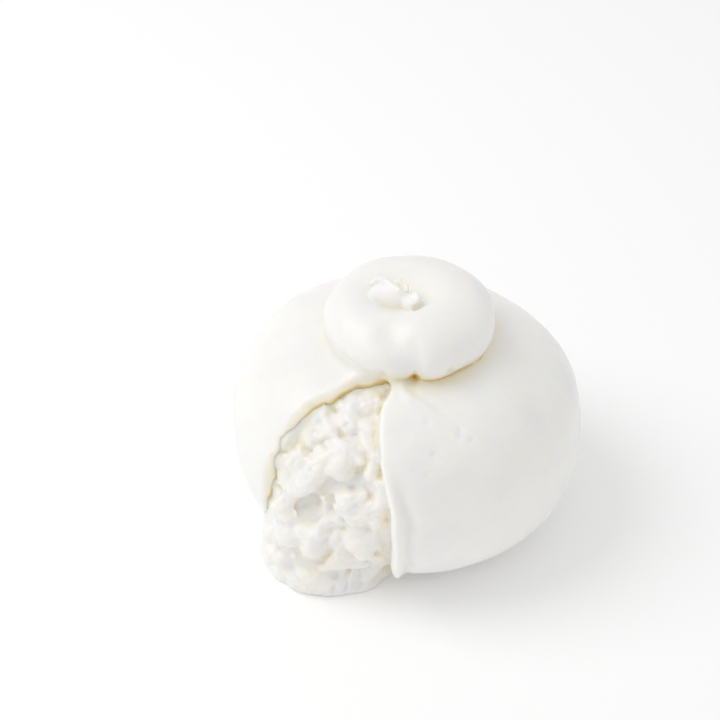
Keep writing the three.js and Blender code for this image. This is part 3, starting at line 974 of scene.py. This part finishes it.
def milk_tint_and_shade_group():
    """Cheese colour: slow cool and warm patches, creamier inside, and painted shade: cream in wide
    hollows, golden to amber in crevices.
    """
    group, given, result = new_group(
        "milk_tint_and_shade",
        (
            ("Fresh", "NodeSocketColor", (0.9, 0.9, 0.87, 1.0)),
            ("Cool", "NodeSocketColor", (0.86, 0.86, 0.86, 1.0)),
            # Cream, golden and amber paint shade where Crevice and Hollow, the nearness of other
            # cheese, are high; cream also colours the inside.
            ("Cream", "NodeSocketColor", (0.9, 0.86, 0.74, 1.0)),
            ("Golden", "NodeSocketColor", (0.75, 0.6, 0.3, 1.0)),
            ("Amber", "NodeSocketColor", (0.5, 0.3, 0.05, 1.0)),
            ("Crevice", "NodeSocketFloat", 0.0),
            ("Hollow", "NodeSocketFloat", 0.0),
            ("Inside", "NodeSocketFloat", 0.0),
            ("Patch size", "NodeSocketFloat", 80.0),
        ),
        (("Color", "NodeSocketColor"),),
    )
    nodes, links = group.nodes, group.links
    place = nodes.new("ShaderNodeTexCoord")
    noise = nodes.new("ShaderNodeTexNoise")
    noise.inputs["Detail"].default_value = 3.0
    links.new(place.outputs["Object"], noise.inputs["Vector"])
    links.new(given.outputs["Patch size"], noise.inputs["Scale"])

    def mix(factor, first, second):
        node = nodes.new("ShaderNodeMix")
        node.data_type = "RGBA"
        links.new(factor, node.inputs["Factor"])
        links.new(first, node.inputs["A"])
        links.new(second, node.inputs["B"])
        return node.outputs["Result"]

    def ramp(value, start, end):
        node = nodes.new("ShaderNodeMapRange")
        node.interpolation_type = "SMOOTHSTEP"
        set_inputs(node, {"From Min": start, "From Max": end})
        links.new(value, node.inputs["Value"])
        return node.outputs["Result"]

    patches = ramp(noise.outputs["Fac"], *TINT_PATCHES)
    colour = mix(patches, given.outputs["Fresh"], given.outputs["Cool"])
    colour = mix(given.outputs["Inside"], colour, given.outputs["Cream"])
    # Painted shade: hollows and crevices bring in cream, golden and amber.
    for label, start, end, brought in TINT_STEPS:
        colour = mix(ramp(given.outputs[label], start, end), colour, given.outputs[brought])
    links.new(colour, result.inputs["Color"])
    return group


def moist_relief_group():
    """Fine relief of drawn curd: soft fibres along the pull, small pores and wet patches."""
    group, given, result = new_group(
        "moist_relief",
        (
            ("Around", "NodeSocketFloat", 0.0),
            ("Climb", "NodeSocketFloat", 0.0),
            ("Fibre", "NodeSocketFloat", 1.0),
            ("Pore size", "NodeSocketFloat", 900.0),
            ("Pore", "NodeSocketFloat", 0.3),
        ),
        (("Height", "NodeSocketFloat"), ("Roughness", "NodeSocketFloat")),
    )
    nodes, links = group.nodes, group.links
    place = nodes.new("ShaderNodeTexCoord")

    def noise(vector, scale, detail):
        node = nodes.new("ShaderNodeTexNoise")
        node.inputs["Detail"].default_value = detail
        links.new(vector, node.inputs["Vector"])
        if isinstance(scale, float):
            node.inputs["Scale"].default_value = scale
        else:
            links.new(scale, node.inputs["Scale"])
        return node.outputs["Fac"]

    def math_node(operation, first, second):
        node = nodes.new("ShaderNodeMath")
        node.operation = operation
        for socket, value in zip(node.inputs, (first, second)):
            if isinstance(value, float):
                socket.default_value = value
            else:
                links.new(value, socket)
        return node.outputs["Value"]

    pull = nodes.new("ShaderNodeCombineXYZ")
    stray = noise(place.outputs["Object"], FIBRES.stray_scale, 2.0)
    strayed = math_node("MULTIPLY", stray, FIBRES.stray)
    turns = math_node("MULTIPLY", given.outputs["Around"], FIBRES.count)
    links.new(math_node("ADD", turns, strayed), pull.inputs["X"])
    links.new(math_node("MULTIPLY", given.outputs["Climb"], FIBRES.stretch), pull.inputs["Y"])
    fibres = noise(pull.outputs["Vector"], 1.0, 4.0)
    pores = noise(place.outputs["Object"], given.outputs["Pore size"], 3.0)
    height = math_node(
        "ADD",
        math_node("MULTIPLY", fibres, given.outputs["Fibre"]),
        math_node("MULTIPLY", pores, given.outputs["Pore"]))
    links.new(height, result.inputs["Height"])
    wet = noise(place.outputs["Object"], WET_SCALE, 2.0)
    rough = nodes.new("ShaderNodeMapRange")
    set_inputs(rough, WET_ROUGHNESS)
    links.new(wet, rough.inputs["Value"])
    links.new(rough.outputs["Result"], result.inputs["Roughness"])
    return group


# ---- materials ----

def cheese_material(name, look, colours, patch_size, grain):
    """Moist cheese that light sinks into, with shade painted into its colour from the piece's own
    crevices and hollows.
    """
    material = bpy.data.materials.new(name)
    material.use_nodes = True
    nodes, links = material.node_tree.nodes, material.node_tree.links
    shader = nodes["Principled BSDF"]
    set_inputs(shader, MOIST_CHEESE)
    shader.inputs["Subsurface Weight"].default_value = look.sink_weight
    shader.inputs["Subsurface Scale"].default_value = look.sink_depth
    shader.inputs["Coat Weight"].default_value = look.wetness

    def group_node(name, build, values, read):
        """Places a node group that reads the piece's attributes of the same names."""
        node = nodes.new("ShaderNodeGroup")
        node.node_tree = bpy.data.node_groups.get(name) or build()
        set_inputs(node, values)
        for label in read:
            attribute = nodes.new("ShaderNodeAttribute")
            attribute.attribute_name = label.lower()
            links.new(attribute.outputs["Fac"], node.inputs[label])
        return node

    tint_values = {label: (*colour, 1.0) for label, colour in colours.items()}
    tint_values["Patch size"] = patch_size
    tint = group_node("milk_tint_and_shade", milk_tint_and_shade_group, tint_values, ("Crevice", "Hollow", "Inside"))
    links.new(tint.outputs["Color"], shader.inputs["Base Color"])

    relief = group_node("moist_relief", moist_relief_group, grain, ("Around", "Climb"))
    bump_node = nodes.new("ShaderNodeBump")
    set_inputs(bump_node, {"Strength": look.relief, "Distance": RELIEF_HEIGHT})
    links.new(relief.outputs["Height"], bump_node.inputs["Height"])
    links.new(bump_node.outputs["Normal"], shader.inputs["Normal"])
    links.new(relief.outputs["Roughness"], shader.inputs["Roughness"])
    return material


def floor_material(colour, glow):
    """White floor of a light table."""
    material = bpy.data.materials.new("studio_floor")
    material.use_nodes = True
    set_inputs(material.node_tree.nodes["Principled BSDF"], {
        "Base Color": (*colour, 1.0),
        "Roughness": 0.9,
        "Emission Color": WHITE,
        "Emission Strength": glow,
        "Specular IOR Level": 0.1,
    })
    return material


# ---- settings ----

class BurrataPouchSettings(bpy.types.PropertyGroup):
    """Sizes of the pouch and its head."""

    radius: FloatProperty(
        name="Body radius", description="Half the width of the pouch",
        default=0.043, min=0.03, max=0.06, unit="LENGTH")
    equator: FloatProperty(
        name="Widest height", description="Height above the floor where the pouch is widest",
        default=0.0246, min=0.01, max=0.04, unit="LENGTH")
    rise: FloatProperty(
        name="Body rise", description="Height of the pouch above its widest place",
        default=0.0283, min=0.01, max=0.05, unit="LENGTH")
    drop: FloatProperty(
        name="Body drop", description="Depth of the full round below its widest place",
        default=0.0266, min=0.01, max=0.05, unit="LENGTH")
    skin: FloatProperty(
        name="Skin", description="Thickness of the stretched curd",
        default=0.0031, min=0.001, max=0.008, unit="LENGTH")
    head_radius: FloatProperty(
        name="Head radius", description="Half the width of the knotted head",
        default=0.0203, min=0.01, max=0.03, unit="LENGTH")
    head_rise: FloatProperty(
        name="Head rise", description="Height of the head above its widest place",
        default=0.0095, min=0.004, max=0.02, unit="LENGTH")
    head_drop: FloatProperty(
        name="Head drop", description="Depth of the head below its widest place",
        default=0.009, min=0.004, max=0.02, unit="LENGTH")
    head_height: FloatProperty(
        name="Head height", description="Height above the floor where the head is widest",
        default=0.056, min=0.04, max=0.08, unit="LENGTH")
    nub_height: FloatProperty(
        name="Torn end height", description="Height above the floor of the torn end",
        default=0.0644, min=0.05, max=0.09, unit="LENGTH")
    nub_turn: FloatProperty(
        name="Torn end turn", description="Turn of the torn end about the head's axis",
        default=-0.42, min=-math.pi, max=math.pi, subtype="ANGLE")


class BurrataFillingSettings(bpy.types.PropertyGroup):
    """Sizes of the filling."""

    spill_radius: FloatProperty(
        name="Spill radius", description="Half the width of the filling that has slumped out",
        default=0.0168, min=0.01, max=0.03, unit="LENGTH")
    spill_height: FloatProperty(
        name="Spill height", description="Height of the filling that has slumped out",
        default=0.03, min=0.01, max=0.045, unit="LENGTH")
    small_curds: IntProperty(
        name="Small curds", description="Number of small curds over the showing filling",
        default=60, min=1, max=600)


class BurrataLookSettings(bpy.types.PropertyGroup):
    """Colours and finish of the cheese."""

    fresh: FloatVectorProperty(
        name="Fresh curd", description="Colour of the outer skin",
        default=(0.91, 0.9, 0.87), size=3, min=0.0, max=1.0, subtype="COLOR")
    cool: FloatVectorProperty(
        name="Cool patches", description="Colour of the slow patches in the skin",
        default=(0.88, 0.87, 0.86), size=3, min=0.0, max=1.0, subtype="COLOR")
    # Cream is the cut faces' own colour, and also the painted shade in hollows and shallow
    # crevices.
    cream: FloatVectorProperty(
        name="Cream", description="Colour of cut faces, inner sides and shallow crevices",
        default=(0.92, 0.87, 0.74), size=3, min=0.0, max=1.0, subtype="COLOR")
    # Golden and amber are painted shade, deep in the pouch's crevices and in its pinch.
    golden: FloatVectorProperty(
        name="Golden whey", description="Colour deep in crevices",
        default=(0.82, 0.62, 0.23), size=3, min=0.0, max=1.0, subtype="COLOR")
    amber: FloatVectorProperty(
        name="Amber whey", description="Colour where whey has pooled",
        default=(0.52, 0.3, 0.03), size=3, min=0.0, max=1.0, subtype="COLOR")
    # Painted shade deep in the filling's crevices and along its seam with the pouch.
    shade: FloatVectorProperty(
        name="Shade", description="Colour deep in the filling's crevices",
        default=(0.84, 0.78, 0.57), size=3, min=0.0, max=1.0, subtype="COLOR")
    curd: FloatVectorProperty(
        name="Filling", description="Colour of the filling's curds",
        default=(0.885, 0.875, 0.855), size=3, min=0.0, max=1.0, subtype="COLOR")
    sink_weight: FloatProperty(
        name="Translucency", description="Share of the light that sinks into the cheese",
        default=0.9, min=0.0, max=1.0, subtype="FACTOR")
    sink_depth: FloatProperty(
        name="Light depth", description="How far light travels inside the cheese",
        default=0.0017, min=0.0, max=0.02, unit="LENGTH")
    wetness: FloatProperty(
        name="Wetness", description="Weight of the thin wet film",
        default=0.15, min=0.0, max=1.0, subtype="FACTOR")
    relief: FloatProperty(
        name="Fine relief", description="Strength of the fibres and pores",
        default=0.35, min=0.0, max=1.0, subtype="FACTOR")


class BurrataStageSettings(bpy.types.PropertyGroup):
    """Light and floor of the studio."""

    floor: FloatVectorProperty(
        name="Floor", description="Colour of the floor",
        default=(0.95, 0.95, 0.95), size=3, min=0.0, max=1.0, subtype="COLOR")
    surround: FloatProperty(
        name="Surround", description="Strength of the even light from all sides",
        default=0.75, min=0.0, max=3.0)
    key_power: FloatProperty(
        name="Key light", description="Power of the large lamp at the upper left",
        default=1.45, min=0.0, max=100.0, unit="POWER")
    glow: FloatProperty(
        name="Floor glow", description="Strength of the even light from under the floor",
        default=0.07, min=0.0, max=1.0)


def millimetres(settings):
    """The settings' values by name, with lengths in millimetres."""
    values = {}
    for name, item in settings.bl_rna.properties.items():
        if name not in ("name", "rna_type"):
            value = getattr(settings, name)
            values[name] = value / MM if item.unit == "LENGTH" else value
    return values


# ---- operators ----

def painted_seam_shade(pouch, other, places):
    """How much golden shade is painted where the piece meets the other one, most of it high on the
    left.
    """
    high = smooth_step(places.z, SEAM_AND_CREASE_SHADE.start, SEAM_AND_CREASE_SHADE.end)
    seam = bump(in_blocks(other.level, places) / (SEAM_AND_CREASE_SHADE.spread + SEAM_AND_CREASE_SHADE.more_spread * high))
    share = SEAM_AND_CREASE_SHADE.share + SEAM_AND_CREASE_SHADE.more_share * high
    return seam * share * (1.0 - SEAM_AND_CREASE_SHADE.right_loss * pouch.rightward(places))


def painted_crease_shade(pouch, places):
    """How much golden shade is painted in the crease between the head and the body."""
    crease = bump((pouch.head(places) - pouch.body(places)) / SEAM_AND_CREASE_SHADE.crease_spread)
    crease = crease * smooth_step(places.z, *SEAM_AND_CREASE_SHADE.crease_rise)
    return SEAM_AND_CREASE_SHADE.crease_share * crease * smooth_step(places.x, *SEAM_AND_CREASE_SHADE.crease_side)


def finish_piece(piece, places, outward, pouch, filling, inside, painted_shade, material):
    """Gives the piece its material, and the shares and directions that the material reads."""
    def both(p):
        return np.minimum(pouch.level(p), filling.level(p))

    mesh = piece.data
    # Painted shade: the marked shade plus the nearness of other cheese, which darkens crevices; the
    # wide nearness paints warm shade in hollows.
    crevice = painted_shade + sum(
        share * closeness(places, outward, both, reach) for reach, share in CREVICE_SHARES)
    store(mesh, "crevice", crevice)
    store(mesh, "hollow", closeness(places, outward, both, WARM_SHADE_REACH))
    store(mesh, "inside", inside)
    store(mesh, "around", np.arctan2(places.x, -places.y))
    store(mesh, "climb", places.z - np.hypot(places.x, places.y))
    mesh.materials.clear()
    mesh.materials.append(material)


@lru_cache(maxsize=1)
def forms_for(pouch_sizes, filling_sizes):
    """The fields for sizes given as (name, value) pairs; the last ones are kept."""
    pouch = Pouch(SimpleNamespace(**dict(pouch_sizes)))
    return pouch, Filling(pouch, SimpleNamespace(**dict(filling_sizes)))


def forms(scene):
    """The fields of the pouch and the filling, with the scene's settings."""
    return forms_for(
        tuple(millimetres(scene.burrata_pouch).items()),
        tuple(millimetres(scene.burrata_filling).items()))


class BURRATA_OT_pouch(bpy.types.Operator):
    """Build the pouch of stretched curd with its knotted head, cut open at the front"""

    bl_idname = "burrata.pouch"
    bl_label = "Build the pouch"

    def execute(self, context):
        pouch, filling = forms(context.scene)
        look = context.scene.burrata_look

        def hidden(p):
            behind = np.maximum(pouch.left_face(p), pouch.right_face(p))
            under = pouch.body(p) < -HIDDEN_SKIN.under
            return under & (behind > HIDDEN_SKIN.behind) & (p.z < HIDDEN_SKIN.top)

        step = STEP.pouch
        piece, places, outward = surface_piece(
            "burrata_pouch", pouch.level, POUCH_GRID, step, hidden)
        inside = smooth_step(-pouch.body(places), *INNER_SIDE.depth)
        inside = inside * smooth_step(pouch.head(places), *INNER_SIDE.off_head)
        # Painted shade: golden in the pinch and the torn end's crevices, in the crease under the
        # head and along the seam with the filling.
        painted_shade = marked(0.0, places, PAINTED_CREVICE_SHADE) + painted_crease_shade(pouch, places)
        painted_shade = painted_shade + painted_seam_shade(pouch, filling, places)
        colours = {
            "Fresh": look.fresh, "Cool": look.cool, "Cream": look.cream,
            "Golden": look.golden, "Amber": look.amber,
        }
        material = cheese_material("drawn_curd", look, colours, SKIN_PATCH, SKIN_GRAIN)
        finish_piece(
            piece, places, outward, pouch, filling, INNER_SIDE.share * inside, painted_shade, material)
        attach(piece, "root")
        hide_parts("pouch")
        return {"FINISHED"}


class BURRATA_OT_filling(bpy.types.Operator):
    """Build the filling of curds in cream that slumps out of the cut"""

    bl_idname = "burrata.filling"
    bl_label = "Build the filling"

    def execute(self, context):
        pouch, filling = forms(context.scene)
        look = context.scene.burrata_look

        def hidden(p):
            behind = np.maximum(pouch.left_face(p), pouch.right_face(p))
            under = (p.z < HIDDEN_FILLING.floor) & (filling.spill(p) < -HIDDEN_FILLING.under)
            return (behind > HIDDEN_FILLING.behind) | under

        step = STEP.filling
        piece, places, outward = surface_piece(
            "stracciatella", filling.level, FILLING_GRID, step, hidden)
        inside = np.clip(CREAMINESS.share + CREAMINESS.waves * CREAM_PATCHES(places), 0.0, 1.0)
        colours = {
            "Fresh": look.curd, "Cool": look.cool, "Cream": look.cream,
            "Golden": look.shade, "Amber": look.golden,
        }
        material = cheese_material("creamy_curd", look, colours, CURD_PATCH, CURD_GRAIN)
        # Painted shade along the seam with the pouch.
        painted_shade = painted_seam_shade(pouch, pouch, places)
        finish_piece(piece, places, outward, pouch, filling, inside, painted_shade, material)
        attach(piece, "root")
        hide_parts("filling")
        return {"FINISHED"}


def view_axes():
    """The photograph's view: backwards from what it looks at, right and up."""
    back = Vector((0.0, -math.cos(VIEW_ELEVATION), math.sin(VIEW_ELEVATION)))
    right = Vector((1.0, 0.0, 0.0))
    return back, right, back.cross(right)


class BURRATA_OT_stage(bpy.types.Operator):
    """Set the camera at the photograph's angle over a pale floor in soft light"""

    bl_idname = "burrata.stage"
    bl_label = "Build the stage"

    def execute(self, context):
        stage = context.scene.burrata_stage
        self.camera(context)
        self.floor(context, stage)
        self.lights(context, stage)
        context.scene.view_settings.view_transform = "Standard"
        return {"FINISHED"}

    def camera(self, context):
        back, right, up = view_axes()
        pixel = BODY_WIDTH / BODY_PIXELS * MM
        centre = Vector((0.0, 0.0, BODY_CENTRE_HEIGHT * MM))
        middle = PHOTO_SIDE / 2
        aside = right * ((middle - BODY_CENTRE_PIXEL[0]) * pixel)
        raised = up * ((BODY_CENTRE_PIXEL[1] - middle) * pixel)
        data = bpy.data.cameras.new("camera")
        camera = bpy.data.objects.new("camera", data)
        context.scene.collection.objects.link(camera)
        camera.location = centre + back * (VIEW_DISTANCE * MM)
        heading = centre + aside + raised - camera.location
        camera.rotation_mode = "QUATERNION"
        camera.rotation_quaternion = heading.to_track_quat("-Z", "Y")
        data.sensor_width = SENSOR
        data.lens = SENSOR * VIEW_DISTANCE * MM / (pixel * PHOTO_SIDE)
        context.scene.camera = camera

    def floor(self, context, stage):
        half = FLOOR_HALF
        mesh = bpy.data.meshes.new("floor")
        corners = [(-half, -half, 0.0), (half, -half, 0.0), (half, half, 0.0), (-half, half, 0.0)]
        mesh.from_pydata(corners, [], [(0, 1, 2, 3)])
        mesh.materials.append(floor_material(stage.floor, stage.glow))
        floor = bpy.data.objects.new("floor", mesh)
        context.scene.collection.objects.link(floor)

    def lights(self, context, stage):
        world = bpy.data.worlds.new("studio")
        world.use_nodes = True
        background = world.node_tree.nodes["Background"]
        set_inputs(background, {"Color": WHITE, "Strength": stage.surround})
        context.scene.world = world
        data = bpy.data.lights.new("key", "AREA")
        data.shape = "DISK"
        data.size = KEY.width
        data.energy = stage.key_power
        key = bpy.data.objects.new("key", data)
        key.location = KEY.place
        aim = Vector(KEY.aim) - key.location
        key.rotation_euler = aim.to_track_quat("-Z", "Y").to_euler()
        context.scene.collection.objects.link(key)


class BURRATA_PT_panel(bpy.types.Panel):
    """Lists the burrata's pieces and their settings"""

    bl_idname = "BURRATA_PT_panel"
    bl_label = "Cut burrata"
    bl_space_type = "VIEW_3D"
    bl_region_type = "UI"
    bl_category = "Burrata"

    def draw(self, context):
        scene = context.scene
        for settings, operator in (
            (scene.burrata_stage, BURRATA_OT_stage),
            (scene.burrata_pouch, BURRATA_OT_pouch),
            (scene.burrata_filling, BURRATA_OT_filling),
            (scene.burrata_look, None),
        ):
            box = self.layout.box()
            for name in settings.bl_rna.properties.keys():
                if name not in ("name", "rna_type"):
                    box.prop(settings, name)
            if operator:
                box.operator(operator.bl_idname)


CLASSES = (
    BurrataPouchSettings,
    BurrataFillingSettings,
    BurrataLookSettings,
    BurrataStageSettings,
    BURRATA_OT_pouch,
    BURRATA_OT_filling,
    BURRATA_OT_stage,
    BURRATA_PT_panel,
)
SETTINGS = {
    "burrata_pouch": BurrataPouchSettings,
    "burrata_filling": BurrataFillingSettings,
    "burrata_look": BurrataLookSettings,
    "burrata_stage": BurrataStageSettings,
}


def register():
    for item in CLASSES:
        bpy.utils.register_class(item)
    for name, kind in SETTINGS.items():
        setattr(bpy.types.Scene, name, PointerProperty(type=kind))


def unregister():
    for name in SETTINGS:
        delattr(bpy.types.Scene, name)
    for item in reversed(CLASSES):
        bpy.utils.unregister_class(item)


def main():
    register()
    bpy.ops.burrata.stage()
    bpy.ops.burrata.pouch()
    bpy.ops.burrata.filling()


if __name__ == "__main__":
    main()
